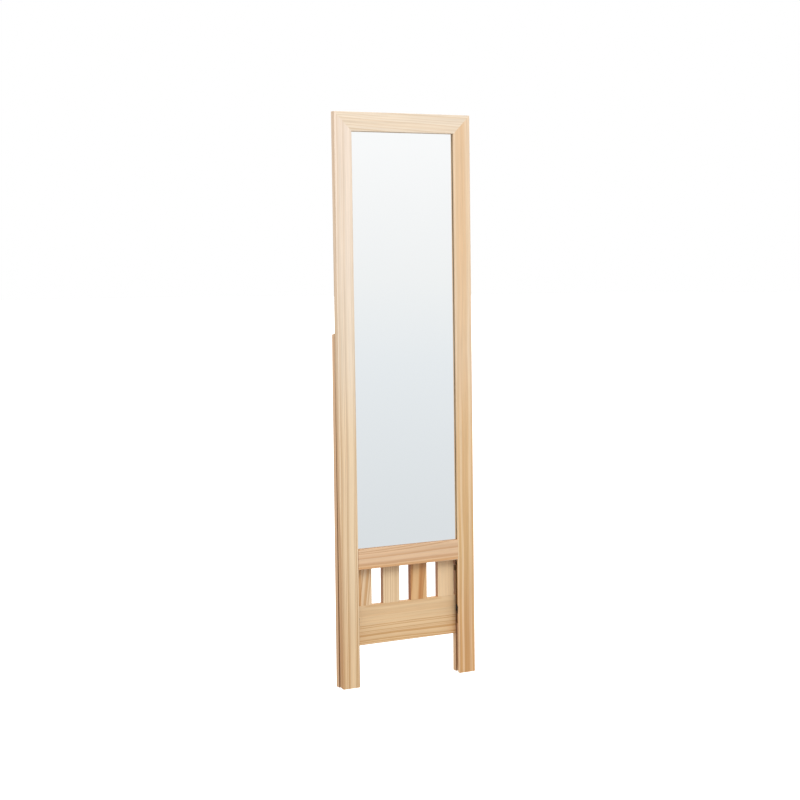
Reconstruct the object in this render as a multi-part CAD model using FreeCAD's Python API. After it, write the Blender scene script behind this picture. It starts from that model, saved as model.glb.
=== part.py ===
import FreeCAD, Part
import math
import os

# Folding floor mirror: a front frame that holds the glass, and a slatted rear frame hinged
# behind it. Millimetres. X to the right, Y to the back, Z up.
# Every piece is drawn with the mirror upright and folded shut: the front face on Y = 0, the
# bottom of the stiles on Z = 0 and the middle of the mirror on X = 0. The last section opens
# the rear frame a little, leans the mirror back on it and moves the origin to the floor
# under the middle of the base.

Vector = FreeCAD.Vector

# ---------------------------------------------------------------- driving dimensions
# front frame
frame_height = 1500.0
frame_width = 400.0
stile_width = 50.0
stile_thickness = 18.0
top_rail_width = 50.0
mid_rail_width = 54.0
mid_rail_height = 312.0        # floor to the lower edge of the mid rail
lip_thickness = 6.0            # wood left in front of the rebate
rebate_width = 8.0
foot_bevel = 9.5               # degrees, so that the foot lies flat when the stand is open
arris = 1.2                    # rounding of the long edges
sight_arris = 2.5              # rounding of the edges round the glass

# glass and what holds it
tape_thickness = 2.0
tape_setback = 1.0             # tape back from the sight edge
glass_thickness = 3.0
board_thickness = 3.0
glass_play = 1.0               # all round, to the rebate
point_thickness = 1.0
point_width = 12.0
point_reach = 9.0              # over the board
point_depth = 6.0              # into the wood
points_on_a_stile = 6
points_on_a_rail = 2

# rear frame
leg_height = 930.0             # floor to the top of a leg
leg_width = 45.0
leg_thickness = 16.0
bottom_rail_height = 105.0     # floor to its lower edge
bottom_rail_width = 106.0
slat_rail_width = 50.0
rear_top_rail_width = 50.0
slat_count = 4
slat_width = 50.0
slat_thickness = 15.0
slat_end_gap = 5.0             # between an outer slat and its leg

# joints in the wood
dowel_radius = 4.0
dowel_half_length = 20.0
slat_dowel_radius = 3.0
slat_dowel_half_length = 15.0
slat_dowel_offset = 14.0
spline_length = 36.0
spline_width = 20.0
spline_thickness = 4.0

# hinges
hinge_length = 34.0
leaf_width = 14.0
leaf_thickness = 1.5
barrel_radius = 3.0
pin_radius = 1.5
pin_clearance = 0.05
pin_overhang = 0.5
knuckle_count = 5
knuckle_gap = 0.4
knuckle_clearance = 0.4
screws_on_a_leaf = 3
screw_spacing = 11.0
screw_length = 12.0
screw_radius = 1.5
screw_head_radius = 2.9

# folding stays
stay_thickness = 1.2
stay_gap = 0.3                 # between two stay pieces that slide past each other
rear_link_room = 1.0           # from a link's edge to the channel's front or back
front_link_room = 1.5
front_pivot_height = 300.0
pivot_step = 15.0              # of the rear pivot below the front one
slot_start = 113.0             # rear pivot to knee when shut
knee_travel = 32.8             # of the knee rivet along the slot
knee_play = 1.1                # of the knee rivet across the slot
knee_rivet_radius = 1.5
pivot_radius = 2.0
pivot_clearance = 0.05
rivet_head_radius = 3.6
rivet_head_thickness = 0.6
post_spacer_radius = 3.5
post_thread_length = 16.0
bracket_height = 14.0
bracket_length = 14.0          # along the leg's inner side
tab_rise = 12.0                # of the thumb tab above the knee
tab_height = 20.0
tab_width = 2.6

# how the frames meet and stand
shut_gap = 0.6                 # between the two frames when folded shut
rest_opening = 0.5             # degrees, as the mirror stands
front_link_ratio = 2.8716      # degrees of front link for a degree of rear frame

# ---------------------------------------------------------------- places worked out
half_width = frame_width / 2
sight_x = half_width - stile_width
sight_top = frame_height - top_rail_width
sight_bottom = mid_rail_height + mid_rail_width
rebate_x = sight_x + rebate_width
rebate_top = sight_top + rebate_width
rebate_bottom = sight_bottom - rebate_width
glass_y = lip_thickness + tape_thickness
board_y = glass_y + glass_thickness
point_y = board_y + board_thickness

leg_y = stile_thickness + shut_gap
leg_back_y = leg_y + leg_thickness
leg_inner_x = half_width - leg_width
rear_middle_y = leg_y + leg_thickness / 2
bottom_rail_top = bottom_rail_height + bottom_rail_width
slat_rail_height = mid_rail_height
slat_rail_top = slat_rail_height + slat_rail_width
rear_top_rail_height = leg_height - rear_top_rail_width

axis_y = stile_thickness + knuckle_clearance + barrel_radius
axis_z = leg_height + knuckle_clearance + barrel_radius
hinge_x = (rebate_x + half_width) / 2 - arris / 2

channel_depth = stile_thickness - lip_thickness
channel_y = lip_thickness + channel_depth / 2          # middle of the rebate channel
rear_link_width = channel_depth - 2 * rear_link_room
front_link_width = channel_depth - 2 * front_link_room
rear_pivot_height = front_pivot_height - pivot_step
knee_height = rear_pivot_height - slot_start
lug_x = rebate_x - 2 * stay_gap - stay_thickness       # inner face of the bracket's lug
rear_link_x = lug_x - stay_gap - stay_thickness
front_link_x = rear_link_x - rivet_head_thickness - 2 * stay_gap - stay_thickness


# ---------------------------------------------------------------- small helpers
def block(x, y, z):
    """A box between pairs of limits."""
    return Part.makeBox(x[1] - x[0], y[1] - y[0], z[1] - z[0], Vector(x[0], y[0], z[0]))


def edges_through(board, points):
    """The edges of a board that pass through the given points."""
    near = 0.001
    marks = [Part.Vertex(point) for point in points]
    return [edge for edge in board.Edges if any(edge.distToShape(mark)[0] < near for mark in marks)]


def lumber(x, y, z, along):
    """A board whose four long edges, those along the axis 'along', are eased."""
    board = block(x, y, z)
    long_edges = [edge for edge in board.Edges if abs(edge.tangentAt(0).dot(along)) > 0.9]
    return board.makeFillet(arris, long_edges)


def frame_lumber(x, y, z, sight_edge, plain_edges):
    """A board beside the glass: one long edge is rounded more than the other three."""
    board = block(x, y, z)
    board = board.makeFillet(sight_arris, edges_through(board, [sight_edge]))
    return board.makeFillet(arris, edges_through(board, plain_edges))


def prism(points, depth):
    """A polygon given as (x, z) points, run through the depth limits."""
    corners = [Vector(x, depth[0], z) for x, z in points]
    face = Part.Face(Part.makePolygon(corners + corners[:1]))
    return face.extrude(Vector(0, depth[1] - depth[0], 0))


def rod(radius, start, direction, length):
    return Part.makeCylinder(radius, length, start, direction)


def slab_link(x, width, z_top, z_bottom):
    """A flat bar with round ends, hanging between two pivot heights in the channel."""
    half = width / 2
    middle = block((x, x + stay_thickness), (channel_y - half, channel_y + half), (z_bottom, z_top))
    for z in (z_top, z_bottom):
        middle = middle.fuse(rod(half, Vector(x, channel_y, z), along_x, stay_thickness))
    return middle.removeSplitter()


def mirrored(shape):
    return shape.mirror(Vector(0, 0, 0), along_x)


def both_sides(shapes):
    """The given solids and their mirror images, as one group."""
    return Part.makeCompound(shapes + [mirrored(shape) for shape in shapes])


def bored(shape, tools):
    """The shape with the given pieces taken out of it."""
    return shape.cut(Part.makeCompound(tools)) if len(tools) > 1 else shape.cut(tools[0])


along_x = Vector(1, 0, 0)
along_y = Vector(0, 1, 0)
along_z = Vector(0, 0, 1)


# ---------------------------------------------------------------- fasteners and dowels
def countersunk_screw(head, direction):
    """A screw whose flat head lies at 'head' and whose shank runs along 'direction'."""
    cone = Part.makeCone(screw_head_radius, screw_radius, leaf_thickness, head, direction)
    return cone.fuse(rod(screw_radius, head, direction, screw_length)).removeSplitter()


def screw_offsets():
    first = -screw_spacing * (screws_on_a_leaf - 1) / 2
    return [first + screw_spacing * index for index in range(screws_on_a_leaf)]


def front_leaf_screws():
    z = axis_z + (leaf_width + barrel_radius) / 2
    y = stile_thickness + leaf_thickness
    return [countersunk_screw(Vector(hinge_x + dx, y, z), -along_y) for dx in screw_offsets()]


def rear_leaf_screws():
    y = axis_y + (leaf_width + barrel_radius) / 2 - 1.0
    z = leg_height + leaf_thickness
    return [countersunk_screw(Vector(hinge_x + dx, y, z), -along_z) for dx in screw_offsets()]


def bracket_screws():
    x = leg_inner_x - stay_thickness
    places = [leg_y + 4.5, leg_y + 10.5]
    screws = []
    for y in places:
        head = Vector(x, y, rear_pivot_height)
        cone = Part.makeCone(screw_head_radius, screw_radius, stay_thickness, head, along_x)
        screws.append(cone.fuse(rod(screw_radius, head, along_x, screw_length)).removeSplitter())
    return screws


def mid_rail_dowels():
    """The dowels between the mid rail and the right stile."""
    start = rebate_x - dowel_half_length
    heights = [mid_rail_height + 14.0, rebate_bottom - 12.0]
    return [rod(dowel_radius, Vector(start, channel_y, z), along_x, 2 * dowel_half_length) for z in heights]


def rear_dowels():
    """The dowels between the three rear rails and the right leg."""
    start = leg_inner_x - dowel_half_length
    heights = [bottom_rail_height + bottom_rail_width * share for share in (0.22, 0.78)]
    heights += [slat_rail_height + 22.0, slat_rail_top - 12.0]
    heights += [rear_top_rail_height + 10.0, rear_top_rail_height + 30.0]
    length = 2 * dowel_half_length
    return [rod(dowel_radius, Vector(start, rear_middle_y, z), along_x, length) for z in heights]


def slat_centres():
    first = -leg_inner_x + slat_end_gap + slat_width / 2
    pitch = -2 * first / (slat_count - 1)
    return [first + pitch * index for index in range(slat_count)]


def slat_dowels():
    dowels = []
    y = leg_y + slat_thickness / 2
    for centre in slat_centres():
        for offset in (-slat_dowel_offset, slat_dowel_offset):
            for joint in (bottom_rail_top, slat_rail_height):
                foot = Vector(centre + offset, y, joint - slat_dowel_half_length)
                dowels.append(rod(slat_dowel_radius, foot, along_z, 2 * slat_dowel_half_length))
    return dowels


def mitre_spline():
    """The loose tongue across the right mitre."""
    middle_x = (rebate_x + half_width) / 2
    middle_z = (rebate_top + frame_height) / 2
    depth = channel_y - spline_thickness / 2
    tongue = block((-spline_length / 2, spline_length / 2), (0, spline_thickness),
                   (-spline_width / 2, spline_width / 2))
    tongue.rotate(Vector(0, 0, 0), along_y, -45)
    tongue.translate(Vector(middle_x, depth, middle_z))
    return tongue


def spread(first, last, count):
    step = (last - first) / (count - 1)
    return [first + step * index for index in range(count)]


def point_limits():
    return (point_y, point_y + point_thickness)


def stile_points():
    """The flat points pressed into the right stile's rebate, over the board."""
    x = (rebate_x - point_reach, rebate_x + point_depth)
    heights = spread(rebate_bottom + 60.0, rebate_top - 60.0, points_on_a_stile)
    half = point_width / 2
    return [block(x, point_limits(), (z - half, z + half)) for z in heights]


def top_points():
    z = (rebate_top - point_reach, rebate_top + point_depth)
    half = point_width / 2
    return [block((x - half, x + half), point_limits(), z) for x in spread(-80.0, 80.0, points_on_a_rail)]


def bottom_points():
    z = (rebate_bottom - point_depth, rebate_bottom + point_reach)
    half = point_width / 2
    return [block((x - half, x + half), point_limits(), z) for x in spread(-80.0, 80.0, points_on_a_rail)]


# ---------------------------------------------------------------- front frame
def mitre_waste():
    """What a square stile end has too much above the mitre, on the right."""
    over = 2.0
    return prism([(sight_x - over, sight_top - over), (half_width + over, frame_height + over),
                  (sight_x - over, frame_height + over)], (-over, stile_thickness + over))


def foot_waste():
    """The wedge cut off under a stile's foot, rising to the back."""
    back = stile_thickness + 1.0
    rise = back * math.tan(math.radians(foot_bevel))
    corners = [Vector(0, 0, 0), Vector(0, back, rise), Vector(0, back, -1.0), Vector(0, 0, -1.0)]
    wedge = Part.Face(Part.makePolygon(corners + corners[:1])).extrude(Vector(stile_width + 2.0, 0, 0))
    wedge.translate(Vector(sight_x - 1.0, 0, 0))
    return wedge


def right_stile():
    middle = frame_height / 2
    plain = [Vector(half_width, 0, middle), Vector(half_width, stile_thickness, middle),
             Vector(sight_x, stile_thickness, middle)]
    stile = frame_lumber((sight_x, half_width), (0, stile_thickness), (0, frame_height),
                         Vector(sight_x, 0, middle), plain)
    rebate = block((sight_x - 1.0, rebate_x), (lip_thickness, stile_thickness + 1.0),
                   (-1.0, frame_height + 1.0))
    tools = [rebate, mitre_waste(), foot_waste(), mitre_spline(), stay_post()]
    return bored(stile, tools + mid_rail_dowels() + front_leaf_screws() + stile_points())


def top_rail():
    plain = [Vector(0, 0, frame_height), Vector(0, stile_thickness, frame_height),
             Vector(0, stile_thickness, sight_top)]
    rail = frame_lumber((-half_width, half_width), (0, stile_thickness), (sight_top, frame_height),
                        Vector(0, 0, sight_top), plain)
    rebate = block((-half_width - 1.0, half_width + 1.0), (lip_thickness, stile_thickness + 1.0),
                   (sight_top - 1.0, rebate_top))
    over = 2.0
    end = prism([(sight_x - over, sight_top - over), (half_width + over, frame_height + over),
                 (half_width + over, sight_top - over)], (-over, stile_thickness + over))
    spline = mitre_spline()
    return bored(rail, [rebate, end, mirrored(end), spline, mirrored(spline)] + top_points())


def mid_rail():
    rail = lumber((-sight_x, sight_x), (0, stile_thickness), (mid_rail_height, sight_bottom), along_x)
    tongue = block((-rebate_x, rebate_x), (lip_thickness, stile_thickness - arris),
                   (mid_rail_height + arris, rebate_bottom))
    rebate = block((-rebate_x - 1.0, rebate_x + 1.0), (lip_thickness, stile_thickness + 1.0),
                   (rebate_bottom, sight_bottom + 1.0))
    dowels = mid_rail_dowels()
    other_dowels = [mirrored(dowel) for dowel in dowels]
    return bored(rail.fuse(tongue), [rebate] + dowels + other_dowels + bottom_points())


def glazing_tape():
    """Four dark strips between the lip and the glass."""
    inner_x = sight_x + tape_setback
    outer_x = rebate_x - glass_play
    low = sight_bottom - tape_setback
    high = sight_top + tape_setback
    depth = (lip_thickness, glass_y)
    bottom = block((-outer_x, outer_x), depth, (rebate_bottom + glass_play, low))
    top = block((-outer_x, outer_x), depth, (high, rebate_top - glass_play))
    side = block((inner_x, outer_x), depth, (low, high))
    return Part.makeCompound([bottom, top, side, mirrored(side)])


def pane(y, thickness):
    """A sheet that fills the rebate with the play all round."""
    reach = rebate_x - glass_play
    return block((-reach, reach), (y, y + thickness), (rebate_bottom + glass_play, rebate_top - glass_play))


# ---------------------------------------------------------------- rear frame
def foot_lift():
    """How far the leg ends above the stile's foot when shut, to stand level when open."""
    lean = math.radians(rest_opening)
    return axis_z - (axis_z * math.cos(lean) - axis_y * math.sin(lean))


def right_leg():
    leg = lumber((leg_inner_x, half_width), (leg_y, leg_back_y), (foot_lift(), leg_height), along_z)
    return bored(leg, rear_dowels() + rear_leaf_screws() + bracket_screws())


def rear_rail(height, width, slat_holes):
    rail = lumber((-leg_inner_x, leg_inner_x), (leg_y, leg_back_y), (height, height + width), along_x)
    dowels = rear_dowels()
    holes = dowels + [mirrored(dowel) for dowel in dowels]
    return bored(rail, holes + slat_dowels() if slat_holes else holes)


def slat(centre):
    half = slat_width / 2
    board = lumber((centre - half, centre + half), (leg_y, leg_y + slat_thickness),
                   (bottom_rail_top, slat_rail_height), along_z)
    return bored(board, slat_dowels())


# ---------------------------------------------------------------- hinges
def knuckles(bore, first):
    """Every second knuckle of the right hinge, from the one numbered 'first'."""
    step = hinge_length / knuckle_count
    start = hinge_x - hinge_length / 2
    pieces = []
    for index in range(first, knuckle_count, 2):
        low = start + step * index + (knuckle_gap / 2 if index else 0)
        high = start + step * (index + 1) - (knuckle_gap / 2 if index < knuckle_count - 1 else 0)
        barrel = rod(barrel_radius, Vector(low, axis_y, axis_z), along_x, high - low)
        pieces.append(barrel.cut(rod(bore, Vector(low, axis_y, axis_z), along_x, high - low)))
    return pieces


def knuckle_room(first):
    """Room in a leaf for the other leaf's knuckles, from the one numbered 'first'."""
    step = hinge_length / knuckle_count
    start = hinge_x - hinge_length / 2
    rooms = []
    for index in range(first, knuckle_count, 2):
        low = start + step * index - (knuckle_gap / 2 if index else 1.0)
        high = start + step * (index + 1) + (knuckle_gap / 2 if index < knuckle_count - 1 else 1.0)
        rooms.append(rod(barrel_radius + knuckle_clearance, Vector(low, axis_y, axis_z), along_x, high - low))
    return rooms


def hinge_leaf(plate, bore, own, other, screws):
    """A plate rolled into its own knuckles, clear of the pin and of the other leaf."""
    leaf = plate.cut(rod(bore, Vector(hinge_x - hinge_length, axis_y, axis_z), along_x, 2 * hinge_length))
    leaf = bored(leaf, knuckle_room(other))
    for knuckle in knuckles(bore, own):
        leaf = leaf.fuse(knuckle)
    return bored(leaf.removeSplitter(), screws)


def hinge_span():
    return (hinge_x - hinge_length / 2, hinge_x + hinge_length / 2)


def front_leaf():
    plate = block(hinge_span(), (stile_thickness, stile_thickness + leaf_thickness),
                  (axis_z, axis_z + leaf_width))
    return hinge_leaf(plate, pin_radius, 0, 1, front_leaf_screws())


def rear_leaf():
    plate = block(hinge_span(), (axis_y, leg_back_y - arris), (leg_height, leg_height + leaf_thickness))
    return hinge_leaf(plate, pin_radius + pin_clearance, 1, 0, rear_leaf_screws())


def hinge_pin():
    start = Vector(hinge_x - hinge_length / 2 - pin_overhang, axis_y, axis_z)
    return rod(pin_radius, start, along_x, hinge_length + 2 * pin_overhang)


# ---------------------------------------------------------------- folding stays
def stay_post():
    """The shouldered screw in the right stile that the front link turns on."""
    journal_x = front_link_x + stay_thickness + stay_gap
    head_x = front_link_x - stay_gap - 2 * rivet_head_thickness
    centre = (channel_y, front_pivot_height)
    spacer = rod(post_spacer_radius, Vector(journal_x, *centre), along_x, rebate_x - journal_x)
    journal_start = front_link_x - stay_gap
    journal = rod(pivot_radius, Vector(journal_start, *centre), along_x, journal_x - journal_start)
    head = rod(rivet_head_radius, Vector(head_x, *centre), along_x, 2 * rivet_head_thickness)
    thread = rod(pivot_radius, Vector(rebate_x, *centre), along_x, post_thread_length)
    return spacer.fuse([journal, head, thread]).removeSplitter()


def thumb_tab():
    """The bent finger of the front link that comes forward past the lip beside the knee."""
    outer = (sight_x - stay_gap - 0.1 - stay_thickness, sight_x - stay_gap - 0.1)
    top = knee_height + tab_rise
    web_y = (lip_thickness + 1.2, lip_thickness + 1.2 + stay_thickness)
    web = block((outer[0], front_link_x + stay_thickness), web_y, (top - tab_width, top))
    arm = block(outer, (1.0, web_y[1]), (top - tab_width, top))
    finger = block(outer, (1.0, 1.0 + tab_width), (top - tab_height, top))
    return web.fuse([arm, finger])


def front_link():
    link = slab_link(front_link_x, front_link_width, front_pivot_height, knee_height).fuse(thumb_tab())
    journal = rod(pivot_radius + pivot_clearance, Vector(front_link_x - 1.0, channel_y, front_pivot_height),
                  along_x, stay_thickness + 2.0)
    return bored(link.removeSplitter(), [journal, knee_rivet()])


def knee_rivet():
    """Fixed in the front link, and free to slide along the rear link's slot."""
    centre = (channel_y, knee_height)
    near_head = rod(rivet_head_radius, Vector(front_link_x - rivet_head_thickness, *centre), along_x,
                    rivet_head_thickness)
    far_x = rear_link_x + stay_thickness + stay_gap
    shank = rod(knee_rivet_radius, Vector(front_link_x, *centre), along_x, far_x - front_link_x)
    far_head = rod(rivet_head_radius, Vector(far_x, *centre), along_x, rivet_head_thickness)
    return shank.fuse([near_head, far_head]).removeSplitter()


def rear_link():
    lowest = knee_height - knee_travel
    link = slab_link(rear_link_x, rear_link_width, rear_pivot_height, lowest)
    half = knee_rivet_radius + knee_play
    width = (rear_link_x - 1.0, rear_link_x + stay_thickness + 1.0)
    slot = block(width, (channel_y - half, channel_y + half), (lowest, knee_height))
    for z in (lowest, knee_height):
        slot = slot.fuse(rod(half, Vector(width[0], channel_y, z), along_x, width[1] - width[0]))
    pivot = rod(pivot_radius + pivot_clearance, Vector(width[0], channel_y, rear_pivot_height), along_x,
                width[1] - width[0])
    return bored(link, [slot, pivot])


def stay_pivot():
    """The rivet that the rear link turns on, fixed in the bracket's lug."""
    centre = (channel_y, rear_pivot_height)
    head_x = rear_link_x - stay_gap / 2 - rivet_head_thickness
    head = rod(rivet_head_radius, Vector(head_x, *centre), along_x, rivet_head_thickness)
    shank = rod(pivot_radius, Vector(head_x, *centre), along_x, lug_x + stay_thickness - head_x)
    return head.fuse(shank).removeSplitter()


def stay_bracket():
    """A plate on the right leg's inner side, joggled forward into the rebate channel."""
    height = (rear_pivot_height - bracket_height / 2, rear_pivot_height + bracket_height / 2)
    web_y = (leg_y - stay_thickness, leg_y)
    plate = block((leg_inner_x - stay_thickness, leg_inner_x), (web_y[0], leg_y + bracket_length), height)
    web = block((leg_inner_x - stay_thickness, lug_x + stay_thickness), web_y, height)
    lug = block((lug_x, lug_x + stay_thickness), (channel_y, web_y[1]), height)
    end = rod(rear_link_width / 2, Vector(lug_x, channel_y, rear_pivot_height), along_x, stay_thickness)
    bracket = plate.fuse([web, lug, end]).removeSplitter()
    return bored(bracket, [stay_pivot()] + bracket_screws())


# ---------------------------------------------------------------- standing up
hinge_point = Vector(0, axis_y, axis_z)
front_pivot = Vector(0, channel_y, front_pivot_height)
rear_pivot = Vector(0, channel_y, rear_pivot_height)


def base_depth():
    """Front of the stile's foot to the back of the leg's foot, as the mirror stands."""
    lean = math.radians(rest_opening)
    shift = axis_y * math.cos(lean) + axis_z * math.sin(lean) - axis_y
    return leg_back_y + shift


def stood(shape):
    """Leaned back on the foot's front edge, with the origin under the middle of the base."""
    placed = shape.copy()
    placed.rotate(Vector(0, 0, 0), along_x, -rest_opening)
    placed.translate(Vector(0, -base_depth() / 2, 0))
    return placed


def on_front(shape):
    return stood(shape)


def on_rear(shape):
    opened = shape.copy()
    opened.rotate(hinge_point, along_x, rest_opening)
    return stood(opened)


def on_front_link(shape):
    swung = shape.copy()
    swung.rotate(front_pivot, along_x, rest_opening * front_link_ratio)
    return stood(swung)


def rear_link_swing():
    """Degrees that the rear link turns in the rear frame, to have the knee in its slot."""
    knee = Part.Vertex(Vector(0, channel_y, knee_height))
    knee.rotate(front_pivot, along_x, rest_opening * front_link_ratio)
    knee.rotate(hinge_point, along_x, -rest_opening)
    reach = knee.Point - rear_pivot
    return math.degrees(math.atan2(reach.y, -reach.z))


def on_rear_link(shape):
    swung = shape.copy()
    swung.rotate(rear_pivot, along_x, rear_link_swing())
    return on_rear(swung)


def pair(name, shape, place):
    """The right-hand piece and its mirror image, as two nodes."""
    return {"right_" + name: place(shape), "left_" + name: place(mirrored(shape))}


def front_nodes():
    nodes = pair("stile", right_stile(), on_front)
    nodes["top_rail"] = on_front(top_rail())
    nodes["mid_rail"] = on_front(mid_rail())
    nodes["mitre_splines"] = on_front(both_sides([mitre_spline()]))
    nodes["mid_rail_dowels"] = on_front(both_sides(mid_rail_dowels()))
    nodes["glazing_tape"] = on_front(glazing_tape())
    nodes["mirror_glass"] = on_front(pane(glass_y, glass_thickness))
    nodes["back_board"] = on_front(pane(board_y, board_thickness))
    points = stile_points()
    everywhere = points + [mirrored(point) for point in points] + top_points() + bottom_points()
    nodes["board_points"] = on_front(Part.makeCompound(everywhere))
    return nodes


def rear_nodes():
    nodes = pair("rear_leg", right_leg(), on_rear)
    nodes["rear_top_rail"] = on_rear(rear_rail(rear_top_rail_height, rear_top_rail_width, False))
    nodes["slat_rail"] = on_rear(rear_rail(slat_rail_height, slat_rail_width, True))
    nodes["bottom_rail"] = on_rear(rear_rail(bottom_rail_height, bottom_rail_width, True))
    for number, centre in enumerate(slat_centres(), start=1):
        nodes["slat_%d" % number] = on_rear(slat(centre))
    nodes["slat_dowels"] = on_rear(Part.makeCompound(slat_dowels()))
    nodes["rear_rail_dowels"] = on_rear(both_sides(rear_dowels()))
    return nodes


def hardware_nodes():
    nodes = pair("hinge_front_leaf", front_leaf(), on_front)
    nodes.update(pair("hinge_rear_leaf", rear_leaf(), on_rear))
    nodes.update(pair("hinge_pin", hinge_pin(), on_front))
    nodes["hinge_front_screws"] = on_front(both_sides(front_leaf_screws()))
    nodes["hinge_rear_screws"] = on_rear(both_sides(rear_leaf_screws()))
    nodes["stay_posts"] = on_front(both_sides([stay_post()]))
    nodes["stay_pivots"] = on_rear(both_sides([stay_pivot()]))
    nodes["stay_bracket_screws"] = on_rear(both_sides(bracket_screws()))
    nodes.update(pair("stay_bracket", stay_bracket(), on_rear))
    nodes.update(pair("stay_front_link", front_link(), on_front_link))
    nodes.update(pair("stay_knee_rivet", knee_rivet(), on_front_link))
    nodes.update(pair("stay_rear_link", rear_link(), on_rear_link))
    return nodes


def report_axes():
    """The joint axes and the base, for the record."""
    front = stood(Part.Vertex(hinge_point)).Point
    link = stood(Part.Vertex(front_pivot)).Point
    rear = on_rear(Part.Vertex(rear_pivot)).Point
    print("hinge axis  y %.4f z %.4f" % (front.y, front.z))
    print("front link  y %.4f z %.4f" % (link.y, link.z))
    print("rear link   y %.4f z %.4f" % (rear.y, rear.z))
    print("base depth  %.4f" % base_depth())


def write_parts():
    os.makedirs("parts", exist_ok=True)
    nodes = {}
    nodes.update(front_nodes())
    nodes.update(rear_nodes())
    nodes.update(hardware_nodes())
    for name, shape in nodes.items():
        shape.exportStep("parts/%s.step" % name)
    report_axes()


write_parts()
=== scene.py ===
import bpy
import bmesh
import math
from mathutils import Euler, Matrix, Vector


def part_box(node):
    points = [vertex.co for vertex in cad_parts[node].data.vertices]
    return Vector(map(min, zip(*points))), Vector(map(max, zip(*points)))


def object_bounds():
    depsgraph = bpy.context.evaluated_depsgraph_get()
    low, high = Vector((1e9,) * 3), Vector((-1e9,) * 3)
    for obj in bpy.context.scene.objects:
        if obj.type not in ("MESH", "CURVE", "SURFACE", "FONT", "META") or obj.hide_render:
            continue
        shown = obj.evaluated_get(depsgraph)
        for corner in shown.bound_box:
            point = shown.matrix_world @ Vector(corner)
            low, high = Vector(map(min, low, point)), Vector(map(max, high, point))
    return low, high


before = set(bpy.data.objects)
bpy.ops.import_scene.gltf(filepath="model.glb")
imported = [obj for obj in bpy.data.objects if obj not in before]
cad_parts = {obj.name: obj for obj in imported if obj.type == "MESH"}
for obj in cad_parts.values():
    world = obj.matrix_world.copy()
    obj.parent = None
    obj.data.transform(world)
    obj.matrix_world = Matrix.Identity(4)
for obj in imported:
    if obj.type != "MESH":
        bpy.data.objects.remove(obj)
cad_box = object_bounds()

MM = 0.001
QUARTER = math.pi / 2
LEAN = math.radians(0.5)            # the front frame leans back this much
STAND_HEIGHT = cad_box[1][2]
STILE_HALF_THICKNESS = 9.0 * MM     # the box round a leaning stile is deeper than the stile


# ---------------------------------------------------------------- node helpers
def add(tree, kind, **settings):
    node = tree.nodes.new("ShaderNode" + kind)
    for name, value in settings.items():
        setattr(node, name, value)
    return node


def feed(tree, socket, value):
    """Puts a number, a colour or another node's output on a socket."""
    if isinstance(value, bpy.types.NodeSocket):
        tree.links.new(value, socket)
    else:
        socket.default_value = value


def maths(tree, operation, *values, clamp=False):
    node = add(tree, "Math", operation=operation, use_clamp=clamp)
    for socket, value in zip(node.inputs, values):
        feed(tree, socket, value)
    return node.outputs[0]


def vector_maths(tree, operation, *values):
    node = add(tree, "VectorMath", operation=operation)
    for socket, value in zip(node.inputs, values):
        feed(tree, socket, value)
    return node.outputs["Value" if operation == "LENGTH" else "Vector"]


def noise(tree, vector, detail=2.0, roughness=0.5):
    node = add(tree, "TexNoise", noise_dimensions="3D")
    node.inputs["Scale"].default_value = 1.0
    node.inputs["Detail"].default_value = detail
    node.inputs["Roughness"].default_value = roughness
    feed(tree, node.inputs["Vector"], vector)
    return node


def ramp(tree, value, stops, smooth=False):
    node = add(tree, "ValToRGB")
    bar = node.color_ramp
    bar.interpolation = "EASE" if smooth else "LINEAR"
    while len(bar.elements) < len(stops):
        bar.elements.new(0.5)
    for element, (place, colour) in zip(bar.elements, stops):
        element.position = place
        element.color = (*colour, 1.0) if isinstance(colour, tuple) else (colour, colour, colour, 1.0)
    feed(tree, node.inputs["Fac"], value)
    return node.outputs["Color"]


def blend(tree, factor, first, second, mode="MIX"):
    node = add(tree, "Mix", data_type="RGBA", blend_type=mode, clamp_factor=True)
    feed(tree, node.inputs["Factor"], factor)
    feed(tree, node.inputs["A"], first)
    feed(tree, node.inputs["B"], second)
    return node.outputs["Result"]


def opaque(colour):
    return (*colour, 1.0)


def group(name, inputs, outputs):
    """A shader node group with its sockets, and the nodes at its two ends."""
    tree = bpy.data.node_groups.new(name, "ShaderNodeTree")
    for label, kind, value in inputs:
        socket = tree.interface.new_socket(label, in_out="INPUT", socket_type="NodeSocket" + kind)
        if value is not None:
            socket.default_value = value
    for label, kind in outputs:
        tree.interface.new_socket(label, in_out="OUTPUT", socket_type="NodeSocket" + kind)
    return tree, tree.nodes.new("NodeGroupInput").outputs, tree.nodes.new("NodeGroupOutput").inputs


# ---------------------------------------------------------------- effects shared by materials
# How many times a metre each mark of the wood repeats, across, through and along the board
SLOW_BENDS = (9.0, 9.0, 1.7)
QUICK_BENDS = (60.0, 60.0, 7.0)
TONE_PATCHES = (22.0, 22.0, 2.2)
STREAKS = (210.0, 210.0, 4.0)
FIBRES = (900.0, 900.0, 16.0)
RESIN_CANALS = (1500.0, 1500.0, 90.0)
QUICK_SHARE = 0.16                  # of the quick bends in the wander
WANDER_GAIN = 4.0                   # noise keeps close to its middle, so it is stretched
GOOD_YEARS = 70.0                   # how often, in a metre of radius, ring widths change
YEAR_SPREAD = 2.4                   # rings that the good and bad years move the count by
FAINTEST_RING = 0.55                # beside 1 for the strongest
CANAL_DEPTH = 0.22                  # share of dark wood in a resin canal
TONE_SWING = 0.16                   # between the palest and the deepest patches
FIBRE_SHARE = 0.24                  # share of the fibres in the wood's lightness
SPRING_ROUGHNESS = 0.50
AUTUMN_POLISH = 0.08                # how much smoother autumn wood is
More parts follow.
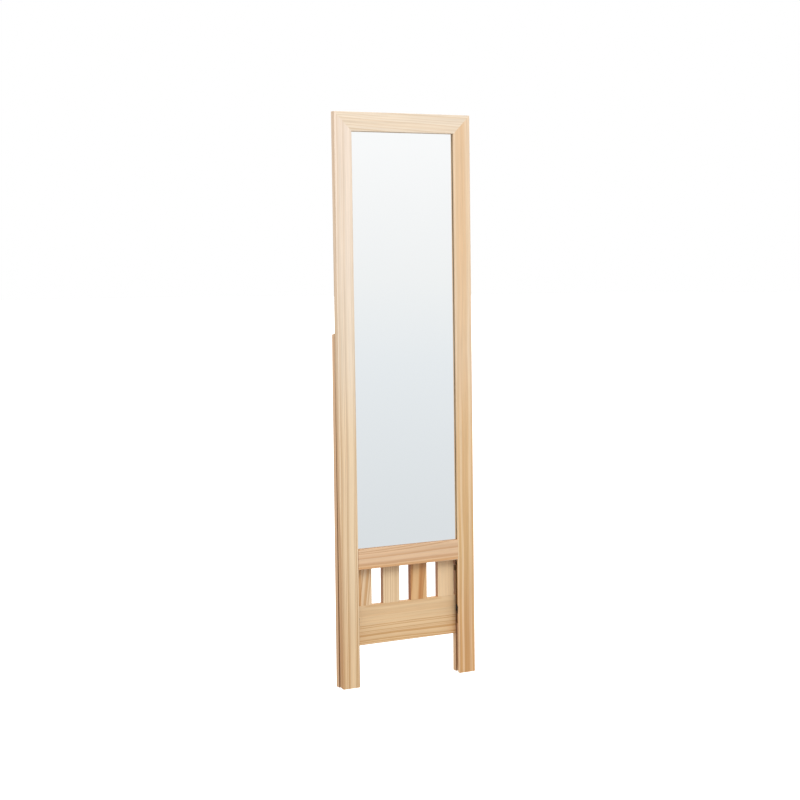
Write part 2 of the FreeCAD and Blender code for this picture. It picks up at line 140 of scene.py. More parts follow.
# Darkness through one year's growth: pale spring wood, a dark autumn band, then a sharp edge
YEAR = [(0.0, 0.0), (0.30, 0.05), (0.55, 0.32), (0.78, 0.85), (0.90, 1.0), (0.965, 1.0), (0.985, 0.0),
        (1.0, 0.0)]
CANAL_SPOTS = [(0.0, 0.0), (0.70, 0.0), (0.76, 1.0), (1.0, 1.0)]


def stretched_noise(tree, vector, stretch, **settings):
    return noise(tree, vector_maths(tree, "MULTIPLY", vector, stretch), **settings)


def bends(tree, vector, stretch, seed):
    """A drift in every direction, as often one way as the other."""
    place = vector_maths(tree, "MULTIPLY", vector, stretch)
    place = vector_maths(tree, "ADD", place, seed)
    return vector_maths(tree, "SUBTRACT", noise(tree, place, detail=1.0).outputs["Color"], (0.5, 0.5, 0.5))


def scaled(tree, vector, amount):
    node = add(tree, "VectorMath", operation="SCALE")
    feed(tree, node.inputs[0], vector)
    feed(tree, node.inputs["Scale"], amount)
    return node.outputs[0]


def wandering_wood(tree, given):
    """The board's own coordinates, bent the way its grain wanders."""
    seed = add(tree, "CombineXYZ")
    for socket in seed.inputs:
        feed(tree, socket, given["Seed"])
    slow = bends(tree, given["Vector"], SLOW_BENDS, seed.outputs[0])
    quick = bends(tree, given["Vector"], QUICK_BENDS, seed.outputs[0])
    quick = vector_maths(tree, "MULTIPLY", quick, (QUICK_SHARE,) * 3)
    reach = maths(tree, "MULTIPLY", given["Wander"], WANDER_GAIN)
    drift = scaled(tree, vector_maths(tree, "ADD", slow, quick), reach)
    return vector_maths(tree, "ADD", given["Vector"], drift)


def distance_from_pith(tree, given, wood):
    along = add(tree, "SeparateXYZ")
    feed(tree, along.inputs[0], given["Vector"])
    shift = scaled(tree, given["Slope"], along.outputs["Z"])
    pith = vector_maths(tree, "ADD", given["Pith"], shift)
    radius = vector_maths(tree, "MULTIPLY", vector_maths(tree, "SUBTRACT", wood, pith), (1.0, 1.0, 0.0))
    return vector_maths(tree, "LENGTH", radius)


def autumn_wood(tree, given, wood):
    """1 on the dark edge of a growth ring, some rings stronger than others."""
    radius = distance_from_pith(tree, given, wood)
    years = add(tree, "TexNoise", noise_dimensions="1D")
    years.inputs["Scale"].default_value = 1.0
    years.inputs["Detail"].default_value = 1.0
    feed(tree, years.inputs["W"], maths(tree, "MULTIPLY_ADD", radius, GOOD_YEARS, given["Seed"]))
    turn = maths(tree, "DIVIDE", radius, given["Ring Width"])
    turn = maths(tree, "MULTIPLY_ADD", years.outputs[0], YEAR_SPREAD, turn)
    late = ramp(tree, maths(tree, "FRACT", turn), YEAR)
    each = add(tree, "TexWhiteNoise", noise_dimensions="1D")
    feed(tree, each.inputs["W"], maths(tree, "ADD", maths(tree, "FLOOR", turn), given["Seed"]))
    strength = maths(tree, "MULTIPLY_ADD", each.outputs["Value"], 1.0 - FAINTEST_RING, FAINTEST_RING)
    return maths(tree, "MULTIPLY", late, strength)


def make_board_grain():
    """Growth rings round a pith that runs beside the board, with fibres and resin canals."""
    tree, given, out = group(
        "board grain",
        [("Vector", "Vector", None), ("Pith", "Vector", (0.0, 0.06, 0.0)),
         ("Slope", "Vector", (0.0, 0.0, 0.0)), ("Ring Width", "Float", 0.008),
         ("Wander", "Float", 0.004), ("Seed", "Float", 0.0),
         ("Early Wood", "Color", (0.8, 0.6, 0.4, 1.0)), ("Late Wood", "Color", (0.6, 0.35, 0.15, 1.0)),
         ("Ring Strength", "Float", 0.6), ("Fibre", "Float", FIBRE_SHARE)],
        [("Color", "Color"), ("Across", "Float"), ("Roughness", "Float"), ("Height", "Float")])
    wood = wandering_wood(tree, given)
    late = autumn_wood(tree, given, wood)
    fibres = stretched_noise(tree, wood, FIBRES, detail=3.0, roughness=0.6)
    streaks = stretched_noise(tree, wood, STREAKS, detail=2.0)
    fibre = maths(tree, "SUBTRACT", maths(tree, "ADD", fibres.outputs[0], streaks.outputs[0]), 1.0)
    canals = ramp(tree, stretched_noise(tree, wood, RESIN_CANALS, detail=1.0).outputs[0], CANAL_SPOTS)
    tone = stretched_noise(tree, wood, TONE_PATCHES, detail=2.0)
    tone = maths(tree, "MULTIPLY_ADD", tone.outputs[0], TONE_SWING, 1.0 - TONE_SWING / 2)

    ringed = maths(tree, "MULTIPLY", late, given["Ring Strength"])
    colour = blend(tree, ringed, given["Early Wood"], given["Late Wood"])
    colour = blend(tree, maths(tree, "MULTIPLY", canals, CANAL_DEPTH), colour, given["Late Wood"])
    shade = maths(tree, "ADD", tone, maths(tree, "MULTIPLY", fibre, given["Fibre"]))
    feed(tree, out["Color"], scaled(tree, colour, shade))

    drifted = add(tree, "SeparateXYZ")
    feed(tree, drifted.inputs[0], wood)
    feed(tree, out["Across"], drifted.outputs["X"])
    roughness = maths(tree, "MULTIPLY_ADD", late, -AUTUMN_POLISH, SPRING_ROUGHNESS)
    feed(tree, out["Roughness"], maths(tree, "MULTIPLY_ADD", fibre, 0.10, roughness))
    relief = maths(tree, "MULTIPLY_ADD", late, 0.5, fibre)
    feed(tree, out["Height"], maths(tree, "SUBTRACT", relief, canals))
    return tree


def make_eased_edge():
    """1 on the eased long edges of a board and 0 a little way in."""
    tree, given, out = group(
        "eased edge",
        [("Vector", "Vector", None), ("Half Width", "Float", 0.02), ("Half Thickness", "Float", 0.009),
         ("Reach", "Float", 0.003)],
        [("Mask", "Float")])
    split = add(tree, "SeparateXYZ")
    feed(tree, split.inputs[0], given["Vector"])
    side = maths(tree, "SUBTRACT", given["Half Width"], maths(tree, "ABSOLUTE", split.outputs["X"]))
    face = maths(tree, "SUBTRACT", given["Half Thickness"], maths(tree, "ABSOLUTE", split.outputs["Y"]))
    away = maths(tree, "DIVIDE", maths(tree, "ADD", side, face), given["Reach"])
    feed(tree, out["Mask"], maths(tree, "SUBTRACT", 1.0, away, clamp=True))
    return tree


BRUSH_MARKS = (2500.0, 2500.0, 180.0)
STAIN_PATCHES = (260.0, 260.0, 260.0)
STAIN_SPOTS = [(0.0, 0.0), (0.42, 0.05), (0.62, 0.7), (1.0, 1.0)]


def make_metal_wear():
    """Brushing, stains and rubbed patches for small sheet-metal parts."""
    tree, given, out = group(
        "metal wear",
        [("Vector", "Vector", None), ("Metal", "Color", (0.6, 0.6, 0.6, 1.0)),
         ("Stain", "Color", (0.2, 0.2, 0.2, 1.0)), ("Amount", "Float", 0.4), ("Roughness", "Float", 0.35)],
        [("Color", "Color"), ("Roughness", "Float"), ("Height", "Float")])
    brushed = stretched_noise(tree, given["Vector"], BRUSH_MARKS, detail=2.0)
    patches = stretched_noise(tree, given["Vector"], STAIN_PATCHES, detail=4.0)
    spots = maths(tree, "MULTIPLY", ramp(tree, patches.outputs[0], STAIN_SPOTS), given["Amount"])
    feed(tree, out["Color"], blend(tree, spots, given["Metal"], given["Stain"]))
    rough = maths(tree, "MULTIPLY_ADD", brushed.outputs[0], 0.16, given["Roughness"])
    feed(tree, out["Roughness"], maths(tree, "MULTIPLY_ADD", spots, 0.2, rough))
    feed(tree, out["Height"], maths(tree, "MULTIPLY_ADD", brushed.outputs[0], 0.4, patches.outputs[0]))
    return tree


BOARD_GRAIN = make_board_grain()
EASED_EDGE = make_eased_edge()
METAL_WEAR = make_metal_wear()


def use(tree, shared, **values):
    node = add(tree, "Group", node_tree=shared)
    for label, value in values.items():
        feed(tree, node.inputs[label.replace("_", " ")], value)
    return node.outputs


def material(name, **constants):
    """A new material with its Principled shader's constant sockets set."""
    made = bpy.data.materials.new(name)
    made.use_nodes = True
    shader = made.node_tree.nodes["Principled BSDF"]
    for label, value in constants.items():
        shader.inputs[label.replace("_", " ")].default_value = value
    return made, made.node_tree, shader


def bump(tree, shader, height, strength, distance):
    node = add(tree, "Bump")
    node.inputs["Strength"].default_value = strength
    node.inputs["Distance"].default_value = distance
    feed(tree, node.inputs["Height"], height)
    feed(tree, shader.inputs["Normal"], node.outputs["Normal"])


def paint(node_name, made):
    """Gives a CAD node its material."""
    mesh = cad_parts[node_name].data
    mesh.materials.clear()
    mesh.materials.append(made)


# ---------------------------------------------------------------- pine boards
EVEN = [(0.0, 1.0), (1.0, 1.0)]
ORANGE = (0.98, 0.90, 0.80)
# Painted shade for the slats' narrow sides
SLAT_SIDE_SHADE = (0.62, 0.42, 0.32)
# How far the stiles' painted light from above has come in, paler from the foot (0) to the top (1)
PAINTED_LIGHT_UPWARDS = [(0.0, 0.0), (0.24, 0.25), (0.41, 0.45), (0.58, 0.85), (0.76, 1.0)]
LOW_STREAKS = [(0.0, 1.0), (0.04, 1.0), (0.09, (0.80, 0.65, 0.45)), (0.20, (0.82, 0.68, 0.47)),
               (0.245, 1.0), (0.335, 1.0), (0.38, (0.80, 0.66, 0.46)), (0.52, (0.79, 0.64, 0.44)),
               (0.66, (0.82, 0.69, 0.50)), (0.73, (1.0, 0.97, 0.93)), (0.86, (0.98, 0.93, 0.86)),
               (0.92, (0.84, 0.66, 0.42)), (1.0, ORANGE)]
HIGH_STREAKS = [(0.0, 1.0), (0.09, 1.0), (0.16, (0.96, 0.88, 0.78)), (0.45, (0.98, 0.91, 0.82)),
                (0.68, (0.96, 0.88, 0.77)), (0.80, 1.0), (1.0, 1.0)]
# Painted light by height on each stile: darker and more orange low down, paler higher up
RIGHT_STILE_PAINTED_LIGHT = [(0.0, (0.94, 0.80, 0.68)), (0.08, (0.95, 0.82, 0.72)), (0.22, (0.97, 0.92, 0.83)),
                       (0.40, (0.98, 0.94, 0.87)), (0.58, (0.99, 0.98, 0.96)), (0.76, (0.97, 0.92, 0.83)),
                       (1.0, (0.96, 0.92, 0.86))]
LEFT_STILE_PAINTED_LIGHT = [(0.0, (0.96, 0.89, 0.77)), (0.08, (0.97, 0.91, 0.80)), (0.24, (1.0, 0.98, 0.90)),
                      (0.41, (1.0, 0.97, 0.87)), (0.59, (1.0, 1.0, 0.95)), (0.76, (1.0, 1.0, 0.98)),
                      (1.0, 1.0)]
MID_RAIL_ZONES = [(0.0, 1.0), (0.74, 1.0), (0.86, (0.98, 0.90, 0.76)), (0.93, (0.95, 0.78, 0.56)), (1.0, 1.0)]
SLAT_1_ZONES = [(0.0, (0.88, 0.72, 0.52)), (0.36, (0.86, 0.68, 0.48)), (0.46, 1.0), (1.0, 1.0)]
SLAT_3_ZONES = [(0.0, (0.94, 0.84, 0.72)), (0.30, 1.0), (0.52, 1.0), (0.62, (0.90, 0.76, 0.60)), (1.0, 1.0)]
CALM_TOP = [(0.0, 0.5), (0.08, 0.2), (0.40, 0.25), (0.50, 1.0), (1.0, 1.0)]
BOTTOM_RAIL_ZONES = [(0.0, 1.0), (0.55, (0.99, 0.98, 0.96)), (1.0, (0.97, 0.93, 0.86))]

# Each board: the way its grain runs, where the pith lies from the board's middle (across and
# behind, in metres), how far the pith shifts in a metre, the ring width, the wander of the
# grain, its light and dark wood, how strongly its rings show, where across the board they are
# fainter, and the lighter and darker zones across it and along it; on the stiles, the paler upper wood and
# the tint by height are painted light.
BOARDS = {
    "left_stile": dict(along="Z", pith=(0.12, 0.04), slope=(0.004, 0.0), ring=0.0088, wander=0.0022,
                       early=(0.93, 0.72, 0.49), late=(0.54, 0.29, 0.10), force=1.25,
                       lit_early=(0.87, 0.73, 0.61), lit_late=(0.77, 0.61, 0.46),
                       heights=LEFT_STILE_PAINTED_LIGHT),
    "right_stile": dict(along="Z", pith=(-0.05, 0.06), slope=(0.012, 0.0), ring=0.0105, wander=0.0050,
                        early=(0.90, 0.70, 0.46), late=(0.66, 0.40, 0.18), force=0.45,
                        lit_early=(0.84, 0.67, 0.50), lit_late=(0.70, 0.46, 0.27), zones=LOW_STREAKS,
                        high_zones=HIGH_STREAKS, heights=RIGHT_STILE_PAINTED_LIGHT),
    "top_rail": dict(along="X", pith=(0.06, 0.05), slope=(0.02, 0.02), ring=0.009, wander=0.0050,
                     early=(0.82, 0.69, 0.54), late=(0.69, 0.52, 0.35)),
    "mid_rail": dict(along="X", pith=(-0.055, 0.05), slope=(0.03, 0.05), ring=0.0075, wander=0.0048,
                     early=(0.82, 0.56, 0.35), late=(0.60, 0.32, 0.15), force=1.0, zones=MID_RAIL_ZONES),
    "bottom_rail": dict(along="X", pith=(-0.05, 0.020), slope=(0.01, 0.0), ring=0.0078, wander=0.0050,
                        early=(0.86, 0.61, 0.355), late=(0.60, 0.30, 0.09), force=1.05, calm=CALM_TOP,
                        zones=BOTTOM_RAIL_ZONES),
    "slat_rail": dict(along="X", pith=(0.05, 0.06), slope=(0.01, 0.02), ring=0.009, wander=0.0040,
                      early=(0.84, 0.60, 0.38), late=(0.56, 0.30, 0.12)),
    "rear_top_rail": dict(along="X", pith=(-0.03, 0.05), slope=(0.02, 0.04), ring=0.010, wander=0.0050,
                          early=(0.84, 0.66, 0.48), late=(0.62, 0.40, 0.22)),
    "left_rear_leg": dict(along="Z", pith=(0.02, 0.06), slope=(0.01, 0.01), ring=0.010, wander=0.0040,
                          early=(0.84, 0.60, 0.40), late=(0.58, 0.33, 0.15)),
    "right_rear_leg": dict(along="Z", pith=(-0.09, 0.05), slope=(0.01, 0.0), ring=0.010, wander=0.0040,
                           early=(0.84, 0.60, 0.38), late=(0.58, 0.32, 0.13)),
    "slat_1": dict(along="Z", pith=(-0.035, 0.02), slope=(0.10, 0.0), ring=0.011, wander=0.0050,
                   early=(0.94, 0.70, 0.45), late=(0.66, 0.37, 0.15), zones=SLAT_1_ZONES),
    "slat_2": dict(along="Z", pith=(0.09, 0.02), slope=(0.02, 0.0), ring=0.007, wander=0.0020,
                   early=(0.91, 0.68, 0.43), late=(0.73, 0.49, 0.26)),
    "slat_3": dict(along="Z", pith=(-0.03, 0.05), slope=(0.08, 0.0), ring=0.016, wander=0.0040,
                   early=(0.80, 0.50, 0.24), late=(0.58, 0.28, 0.10), zones=SLAT_3_ZONES),
    "slat_4": dict(along="Z", pith=(0.12, 0.10), slope=(0.0, 0.0), ring=0.012, wander=0.0030,
                   early=(0.91, 0.66, 0.40), late=(0.84, 0.58, 0.33), force=0.5),
}
LEANING = ("left_stile", "right_stile")
# Painted shade multiplied into the narrow sides of a board
SIDE_SHADE = (1.0, 0.90, 0.78)
SIDE_SHADES = {"slat_1": SLAT_SIDE_SHADE, "slat_2": SLAT_SIDE_SHADE, "slat_3": SLAT_SIDE_SHADE, "slat_4": SLAT_SIDE_SHADE}
SKIN = 0.4 * MM                     # what lies within this of a side takes the side's colour
# Width of the painted shade along the legs' front rims, in the gap between the frames
GAP_SHADE_RIM = 3.0 * MM
EDGE_WEAR_AND_HIGHLIGHT = 0.4                      # how far the long edges go towards pale wood, as wear and as a painted highlight
SEED_STEP = 7.3                     # keeps one board's marks clear of the next one's
# Painted shade multiplied into those rims
GAP_SHADE = (0.42, 0.30, 0.24)
BOARD_RELIEF = 0.15 * MM


def board_place(name, along):
    """Centre, turn and half sizes (across, deep) of a board."""
    low, high = (Vector(corner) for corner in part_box(name))
    centre, half = (low + high) / 2, (high - low) / 2
    if along == "X":
        return centre, (0.0, QUARTER, 0.0), half.z, half.y
    if name in LEANING:
        return centre, (-LEAN, 0.0, 0.0), half.x, STILE_HALF_THICKNESS
    return centre, (0.0, 0.0, 0.0), half.x, half.y


def board_vector(tree, name, along):
    """A board's own coordinates, its length along Z and its width along X, and its half sizes."""
    centre, turn, half_width, half_depth = board_place(name, along)
    place = add(tree, "Mapping", vector_type="TEXTURE")
    place.inputs["Location"].default_value = centre
    place.inputs["Rotation"].default_value = turn
    feed(tree, place.inputs["Vector"], add(tree, "TexCoord").outputs["Object"])
    return place.outputs[0], half_width, half_depth


def past(tree, value, limit):
    """1 where a value is over its limit, else 0."""
    return maths(tree, "GREATER_THAN", value, limit)


def gap_shade_rim(tree, split, half_width, half_depth):
    """1 along the two rims of a leg's front, where painted shade darkens the gap between the frames."""
    face = past(tree, SKIN - half_depth, split.outputs["Y"])
    shaded_rim = past(tree, maths(tree, "ABSOLUTE", split.outputs["X"]), half_width - GAP_SHADE_RIM)
    return maths(tree, "MULTIPLY", face, shaded_rim)


def share_of(tree, value, full):
    """Turns a distance from the middle into 0 at one end and 1 at the other."""
    return maths(tree, "MULTIPLY_ADD", value, 1 / full, 0.5, clamp=True)


def board_woods(tree, board, lit_share):
    """The pale and the dark wood of a board, made paler higher up by painted light where it is so."""
    if "lit_early" not in board:
        return opaque(board["early"]), opaque(board["late"])
    return (blend(tree, lit_share, opaque(board["early"]), opaque(board["lit_early"])),
            blend(tree, lit_share, opaque(board["late"]), opaque(board["lit_late"])))


def board_zones(tree, board, across, height, lit_share):
    """The slow changes of tint across a board and along it, with painted light by height on the stiles."""
    tint = ramp(tree, across, board.get("zones", EVEN), smooth=True)
    if "high_zones" in board:
        tint = blend(tree, lit_share, tint, ramp(tree, across, board["high_zones"], smooth=True))
    return blend(tree, 1.0, tint, ramp(tree, height, board.get("heights", EVEN)), mode="MULTIPLY")


def handled_edges(tree, name, colour, light, vector, split, half_width, half_depth):
    """Long edges rubbed paler with a painted highlight, narrow sides in painted shade, and painted shade on
    the legs' front rims.
    """
    edge = use(tree, EASED_EDGE, Vector=vector, Half_Width=half_width, Half_Thickness=half_depth)
    # Wear and a painted highlight: the eased long edges lightened towards pale wood
    colour = blend(tree, maths(tree, "MULTIPLY", edge["Mask"], EDGE_WEAR_AND_HIGHLIGHT), colour, light)
    # Painted shade on the narrow sides of the board
    side_shade_mask = past(tree, maths(tree, "ABSOLUTE", split.outputs["X"]), half_width - SKIN)
    colour = blend(tree, side_shade_mask, colour, opaque(SIDE_SHADES.get(name, SIDE_SHADE)), mode="MULTIPLY")
    # Painted shade on the legs' front rims, where the gap between the frames lies in shadow
    if name.endswith("rear_leg"):
        shaded_rim = gap_shade_rim(tree, split, half_width, half_depth)
        colour = blend(tree, shaded_rim, colour, opaque(GAP_SHADE), mode="MULTIPLY")
    return colour


def pine_board(name, number, board):
    title = "pine " + name.replace("_", " ")
    made, tree, shader = material(title, Coat_Weight=0.10, Coat_Roughness=0.35)
    vector, half_width, half_depth = board_vector(tree, name, board["along"])
    split = add(tree, "SeparateXYZ")
    feed(tree, split.inputs[0], vector)
    height = share_of(tree, split.outputs["Z"], STAND_HEIGHT)
    lit_share = ramp(tree, height, PAINTED_LIGHT_UPWARDS, smooth=True)
    light, dark = board_woods(tree, board, lit_share)
    calm = ramp(tree, share_of(tree, split.outputs["X"], 2 * half_width), board.get("calm", EVEN))
    grain = use(tree, BOARD_GRAIN, Vector=vector, Pith=(*board["pith"], 0.0), Slope=(*board["slope"], 0.0),
                Ring_Width=board["ring"], Wander=board["wander"], Seed=number * SEED_STEP,
                Early_Wood=light, Late_Wood=dark,
                Ring_Strength=maths(tree, "MULTIPLY", calm, board.get("force", 1.0)))
    across = share_of(tree, grain["Across"], 2 * half_width)
    tint = board_zones(tree, board, across, height, lit_share)
    colour = blend(tree, 1.0, grain["Color"], tint, mode="MULTIPLY")
    colour = handled_edges(tree, name, colour, light, vector, split, half_width, half_depth)
    feed(tree, shader.inputs["Base Color"], colour)
    feed(tree, shader.inputs["Roughness"], grain["Roughness"])
    bump(tree, shader, grain["Height"], 0.12, BOARD_RELIEF)
    return made


def paint_boards():
    for number, (name, board) in enumerate(BOARDS.items(), start=1):
        paint(name, pine_board(name, number, board))


def beech():
    made, tree, shader = material("beech dowel")
    grain = use(tree, BOARD_GRAIN, Vector=add(tree, "TexCoord").outputs["Object"], Pith=(0.0, 0.2, 0.0),
                Ring_Width=2.0 * MM, Wander=1.0 * MM, Early_Wood=(0.62, 0.42, 0.26, 1.0),
                Late_Wood=(0.45, 0.26, 0.14, 1.0), Ring_Strength=0.4)
    feed(tree, shader.inputs["Base Color"], grain["Color"])
    feed(tree, shader.inputs["Roughness"], grain["Roughness"])
    bump(tree, shader, grain["Height"], 0.2, 0.1 * MM)
    return made


# ---------------------------------------------------------------- glass, tape and board
# How many times a metre each mark repeats, across, through and upwards
WIPES = (6.0, 6.0, 2.5)
FOAM_CELLS = (1800.0, 1800.0, 1800.0)
FLECKS = (700.0, 700.0, 420.0)
CLOUDS = (9.0, 9.0, 9.0)
MESH_PITCH = 2.2 * MM               # of the screen the hardboard was pressed against


def silvered_glass():
    """The pane: silver seen through clear glass, with the faintest wipe marks."""
    made, tree, shader = material("silvered glass", Metallic=1.0, Coat_Weight=0.6, Coat_Roughness=0.01)
    place = add(tree, "TexCoord").outputs["Object"]
    wipes = stretched_noise(tree, place, WIPES, detail=3.0)
    feed(tree, shader.inputs["Base Color"],
         ramp(tree, wipes.outputs[0], [(0.0, (0.955, 0.968, 0.972)), (1.0, (0.965, 0.975, 0.978))]))
    feed(tree, shader.inputs["Roughness"], maths(tree, "MULTIPLY", wipes.outputs[0], 0.02))
    return made


# Near-black foam tape: painted shade standing in for the shadow gap between the frame's lip and the glass
def shadow_gap_tape():
    made, tree, shader = material("shadow gap foam tape")
    cells = stretched_noise(tree, add(tree, "TexCoord").outputs["Object"], FOAM_CELLS, detail=2.0)
    feed(tree, shader.inputs["Base Color"],
         ramp(tree, cells.outputs[0], [(0.3, (0.020, 0.016, 0.012)), (0.7, (0.055, 0.045, 0.035))]))
    feed(tree, shader.inputs["Roughness"], maths(tree, "MULTIPLY_ADD", cells.outputs[0], 0.2, 0.7))
    bump(tree, shader, cells.outputs[0], 0.5, 0.2 * MM)
    return made


def waves(tree, value, pitch):
    return maths(tree, "SINE", maths(tree, "MULTIPLY", value, 2 * math.pi / pitch))


def hardboard():
    """Brown pressed fibre with a fine mesh pattern left by the press."""
    made, tree, shader = material("hardboard")
    place = add(tree, "TexCoord").outputs["Object"]
    flecks = stretched_noise(tree, place, FLECKS, detail=4.0, roughness=0.7)
    clouds = stretched_noise(tree, place, CLOUDS, detail=3.0)
    split = add(tree, "SeparateXYZ")
    feed(tree, split.inputs[0], place)
    weft = waves(tree, split.outputs["X"], MESH_PITCH)
    warp = waves(tree, split.outputs["Z"], MESH_PITCH)
    mesh = maths(tree, "MULTIPLY", weft, warp)
    fine = maths(tree, "MULTIPLY", flecks.outputs[0], 0.7)
    mixed = maths(tree, "MULTIPLY_ADD", clouds.outputs[0], 0.35, fine)
    feed(tree, shader.inputs["Base Color"],
         ramp(tree, mixed, [(0.30, (0.10, 0.055, 0.028)), (0.52, (0.20, 0.115, 0.062)),
                            (0.75, (0.34, 0.215, 0.125))]))
    feed(tree, shader.inputs["Roughness"], maths(tree, "MULTIPLY_ADD", flecks.outputs[0], 0.2, 0.62))
    bump(tree, shader, maths(tree, "MULTIPLY_ADD", mesh, 0.3, flecks.outputs[0]), 0.5, 0.2 * MM)
    return made


# ---------------------------------------------------------------- metal
GRIP = (163.5 * MM, 186.0 * MM)     # heights between which a stay's thumb tab lies


def metal(name, colour, stain, amount, roughness):
    made, tree, shader = material(name, Metallic=1.0)
    wear = use(tree, METAL_WEAR, Vector=add(tree, "TexCoord").outputs["Object"], Metal=opaque(colour),
               Stain=opaque(stain), Amount=amount, Roughness=roughness)
    feed(tree, shader.inputs["Base Color"], wear["Color"])
    feed(tree, shader.inputs["Roughness"], wear["Roughness"])
    bump(tree, shader, wear["Height"], 0.15, 0.05 * MM)
    return made


def black_band_link(name):
    """A bronze link that is near-black and not metallic over its thumb tab."""
    made, tree, shader = material(name, Metallic=1.0)
    place = add(tree, "TexCoord").outputs["Object"]
    wear = use(tree, METAL_WEAR, Vector=place, Metal=(0.20, 0.12, 0.06, 1.0),
               Stain=(0.08, 0.045, 0.025, 1.0), Amount=0.6, Roughness=0.42)
    split = add(tree, "SeparateXYZ")
    feed(tree, split.inputs[0], place)
    low, high = GRIP
    above, below = past(tree, split.outputs["Z"], low), past(tree, high, split.outputs["Z"])
    black_band = maths(tree, "MULTIPLY", above, below)
    feed(tree, shader.inputs["Base Color"], blend(tree, black_band, wear["Color"], (0.016, 0.010, 0.008, 1.0)))
    feed(tree, shader.inputs["Metallic"], maths(tree, "SUBTRACT", 1.0, black_band))
    feed(tree, shader.inputs["Roughness"], maths(tree, "MULTIPLY_ADD", black_band, 0.2, wear["Roughness"]))
    bump(tree, shader, wear["Height"], 0.15, 0.05 * MM)
    return made


def paint_hardware():
    brass = metal("yellow brass", (0.72, 0.50, 0.20), (0.36, 0.22, 0.08), 0.5, 0.26)
    zinc = metal("zinc plate", (0.66, 0.65, 0.62), (0.38, 0.37, 0.35), 0.5, 0.28)
    bronze = metal("dark bronze", (0.035, 0.022, 0.015), (0.014, 0.009, 0.007), 0.7, 0.50)
    warm = metal("warm bronze", (0.50, 0.32, 0.15), (0.26, 0.15, 0.06), 0.5, 0.42)
    black_banded = black_band_link("bronze with a black band")
    for side in ("left_", "right_"):
        paint(side + "hinge_front_leaf", brass)
        paint(side + "hinge_rear_leaf", brass)
        paint(side + "hinge_pin", zinc)
        paint(side + "stay_bracket", warm)
        paint(side + "stay_front_link", black_banded)
        paint(side + "stay_rear_link", black_banded)
        paint(side + "stay_knee_rivet", bronze)
    for name in ("hinge_front_screws", "hinge_rear_screws", "board_points"):
        paint(name, zinc)
    paint("stay_bracket_screws", warm)
    for name in ("stay_posts", "stay_pivots"):
        paint(name, bronze)


# ---------------------------------------------------------------- studio
FLOOR_RADIUS = 40.0
FLOOR_DROP = 0.5 * MM               # keeps the floor clear of the feet
FLOOR_GRIT = (40.0, 40.0, 40.0)     # specks in a metre
LENS = 75.9                         # millimetres, as the sensor's width
SENSOR = 36.0
EYE = (-2.0989, -3.9183, 1.1395)
TURN, TILT, ROLL = 28.030, 5.003, -0.574    # degrees


def studio_floor():
    """A wide pale floor, bright enough that the feet throw next to no shadow on it."""
    disc = bmesh.new()
    bmesh.ops.create_circle(disc, cap_ends=True, segments=96, radius=FLOOR_RADIUS)
    mesh = bpy.data.meshes.new("studio floor")
    disc.to_mesh(mesh)
    disc.free()
    floor = bpy.data.objects.new("studio_floor", mesh)
    bpy.context.scene.collection.objects.link(floor)
    made, tree, shader = material("pale floor", Roughness=0.9, Emission_Strength=0.85)
    shader.inputs["Emission Color"].default_value = (1.0, 1.0, 1.0, 1.0)
    grit = stretched_noise(tree, add(tree, "TexCoord").outputs["Object"], FLOOR_GRIT, detail=3.0)
    feed(tree, shader.inputs["Base Color"],
         ramp(tree, grit.outputs[0], [(0.0, (0.88, 0.88, 0.88)), (1.0, (0.92, 0.92, 0.92))]))
    mesh.materials.append(made)
    floor.location.z = -FLOOR_DROP
    floor.visible_glossy = False
    floor.visible_diffuse = False


def glow(tree, stops):
    """A background whose colour changes with the height of the direction looked in."""
    split = add(tree, "SeparateXYZ")
    feed(tree, split.inputs[0], add(tree, "TexCoord").outputs["Generated"])
    height = maths(tree, "MULTIPLY_ADD", split.outputs["Z"], 0.5, 0.5, clamp=True)
    light = add(tree, "Background")
    feed(tree, light.inputs["Color"], ramp(tree, height, stops))
    return light.outputs[0]


def either(tree, choice, first, second):
    pick = add(tree, "MixShader")
    feed(tree, pick.inputs[0], choice)
    tree.links.new(first, pick.inputs[1])
    tree.links.new(second, pick.inputs[2])
    return pick.outputs[0]


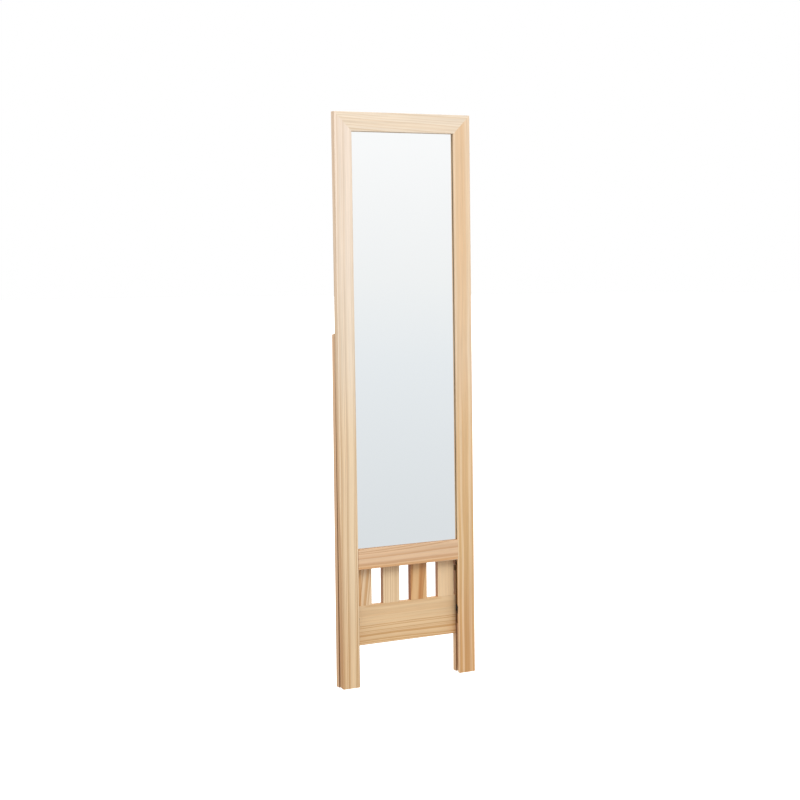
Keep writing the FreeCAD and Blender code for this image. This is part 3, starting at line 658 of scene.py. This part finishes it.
def studio_dome():
    """Soft light from all round, white behind, and a pale grey wall for the glass to mirror."""
    world = bpy.data.worlds.new("studio dome")
    bpy.context.scene.world = world
    world.use_nodes = True
    tree = world.node_tree
    tree.nodes.clear()
    ray = add(tree, "LightPath").outputs
    lit = glow(tree, [(0.0, (0.40, 0.39, 0.38)), (0.40, (0.54, 0.53, 0.52)), (0.55, (0.70, 0.70, 0.70)),
                      (1.0, (0.92, 0.93, 0.94))])
    mirrored = glow(tree, [(0.375, (0.66, 0.69, 0.71)), (0.43, (0.74, 0.77, 0.79)),
                           (0.475, (0.82, 0.85, 0.87)), (0.50, (0.90, 0.91, 0.91)),
                           (0.54, (0.98, 0.98, 0.98)), (1.0, (1.0, 1.0, 1.0))])
    white = glow(tree, [(0.0, 1.0), (1.0, 1.0)])
    seen = either(tree, ray["Is Glossy Ray"], lit, mirrored)
    seen = either(tree, ray["Is Camera Ray"], seen, white)
    tree.links.new(seen, add(tree, "OutputWorld").inputs["Surface"])


def softbox(name, place, target, size, power):
    light = bpy.data.lights.new(name, "AREA")
    light.shape = "RECTANGLE"
    light.size, light.size_y = size
    light.energy = power
    lamp = bpy.data.objects.new(name, light)
    lamp.location = place
    lamp.rotation_euler = (Vector(target) - Vector(place)).to_track_quat("-Z", "Y").to_euler()
    lamp.visible_glossy = False
    bpy.context.scene.collection.objects.link(lamp)


def camera():
    lens = bpy.data.cameras.new("studio camera")
    lens.lens = LENS
    lens.sensor_width = SENSOR
    eye = bpy.data.objects.new("studio camera", lens)
    eye.location = EYE
    turn, tilt, roll = (math.radians(angle) for angle in (TURN, TILT, ROLL))
    swing = Euler((QUARTER - tilt, 0.0, -turn)).to_matrix()
    eye.rotation_euler = (swing @ Euler((0.0, 0.0, roll)).to_matrix()).to_euler()
    bpy.context.scene.collection.objects.link(eye)
    bpy.context.scene.camera = eye


def light_studio():
    studio_floor()
    studio_dome()
    softbox("key softbox", (0.1, -2.7, 3.1), (0.0, 0.0, 1.1), (1.8, 1.8), 55.5)
    softbox("side softbox", (-3.2, -0.6, 1.8), (0.0, 0.0, 1.0), (1.6, 1.6), 17.0)
    view = bpy.context.scene.view_settings
    view.view_transform = "Standard"
    view.look = "None"


# ---------------------------------------------------------------- the mirror
paint_boards()
paint_hardware()
dowel_wood = beech()
for dowels in ("mitre_splines", "mid_rail_dowels", "slat_dowels", "rear_rail_dowels"):
    paint(dowels, dowel_wood)
paint("mirror_glass", silvered_glass())
paint("glazing_tape", shadow_gap_tape())
paint("back_board", hardboard())
light_studio()
camera()
